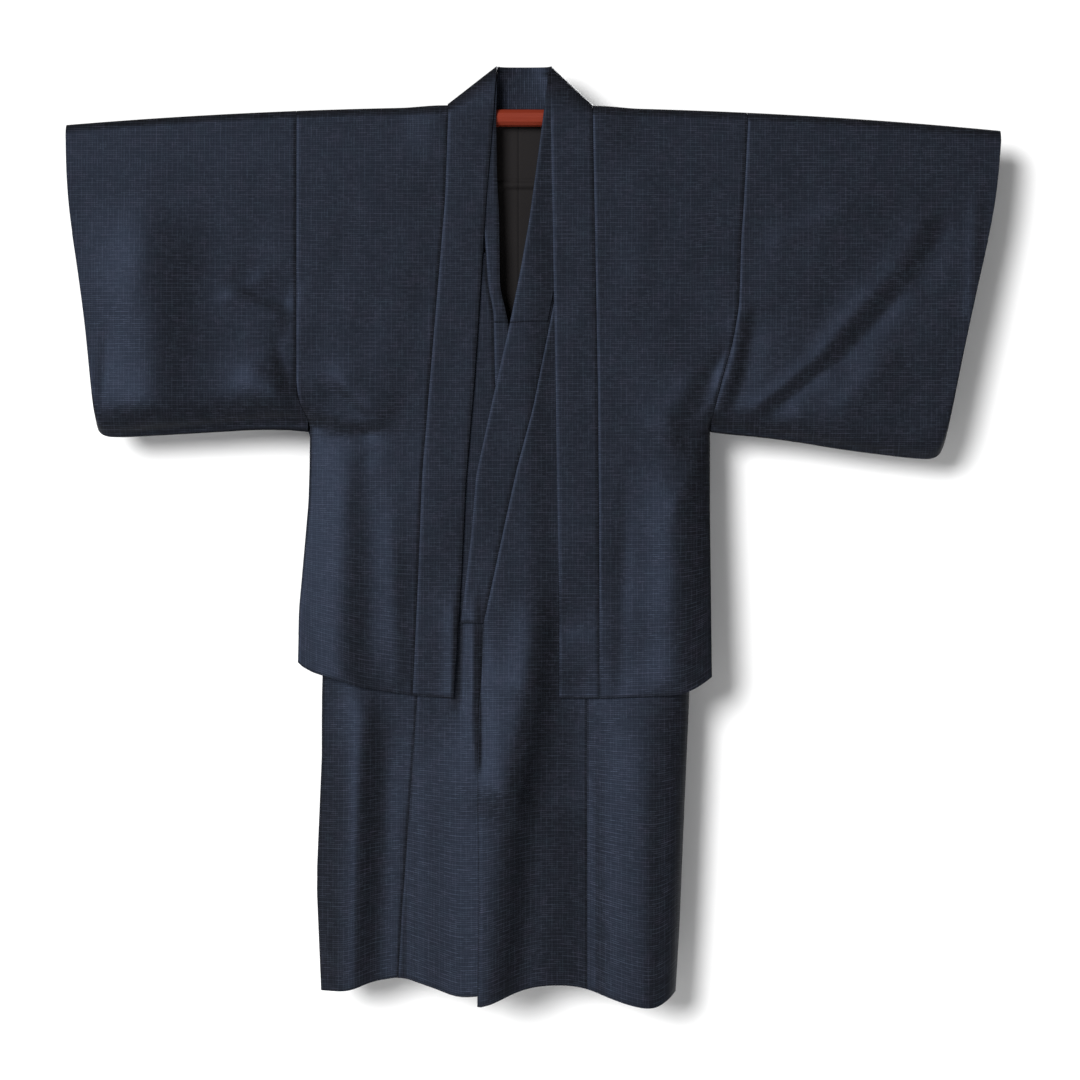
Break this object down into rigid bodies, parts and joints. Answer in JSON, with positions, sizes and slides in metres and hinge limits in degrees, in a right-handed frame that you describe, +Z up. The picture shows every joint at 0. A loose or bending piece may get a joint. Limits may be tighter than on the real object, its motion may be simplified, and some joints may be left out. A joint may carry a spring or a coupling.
{
  "type": "kimono and haori set on a rod",
  "caption": "Men's kimono with a matching haori over it, hung in a T by its sleeves on a plain round rod.",
  "frame": {"origin": "middle of the rod's axis, where the rod is held", "axes": "+Z up, +X along the rod to the viewer's right, -Y out of the front"},
  "size_m": [1.4372, 0.0988, 1.4481],
  "materials": {
    "cloth": "fine checked silk pongee",
    "lining": "plain matt lining",
    "rod": "satin vermilion lacquer"
  },
  "bodies": {
    "root": {"rod": "rod", "kimono_body_left": "cloth", "kimono_body_right": "cloth", "kimono_okumi_left": "cloth", "kimono_okumi_right": "cloth", "kimono_sleeve_left": "cloth", "kimono_sleeve_right": "cloth", "kimono_lining_left": "lining", "kimono_lining_right": "lining", "kimono_collar": "cloth", "kimono_over_collar": "cloth", "haori_body_left": "cloth", "haori_body_right": "cloth", "haori_gusset_left": "cloth", "haori_gusset_right": "cloth", "haori_sleeve_left": "cloth", "haori_sleeve_right": "cloth", "haori_collar": "cloth"}
  },
  "joints": []
}
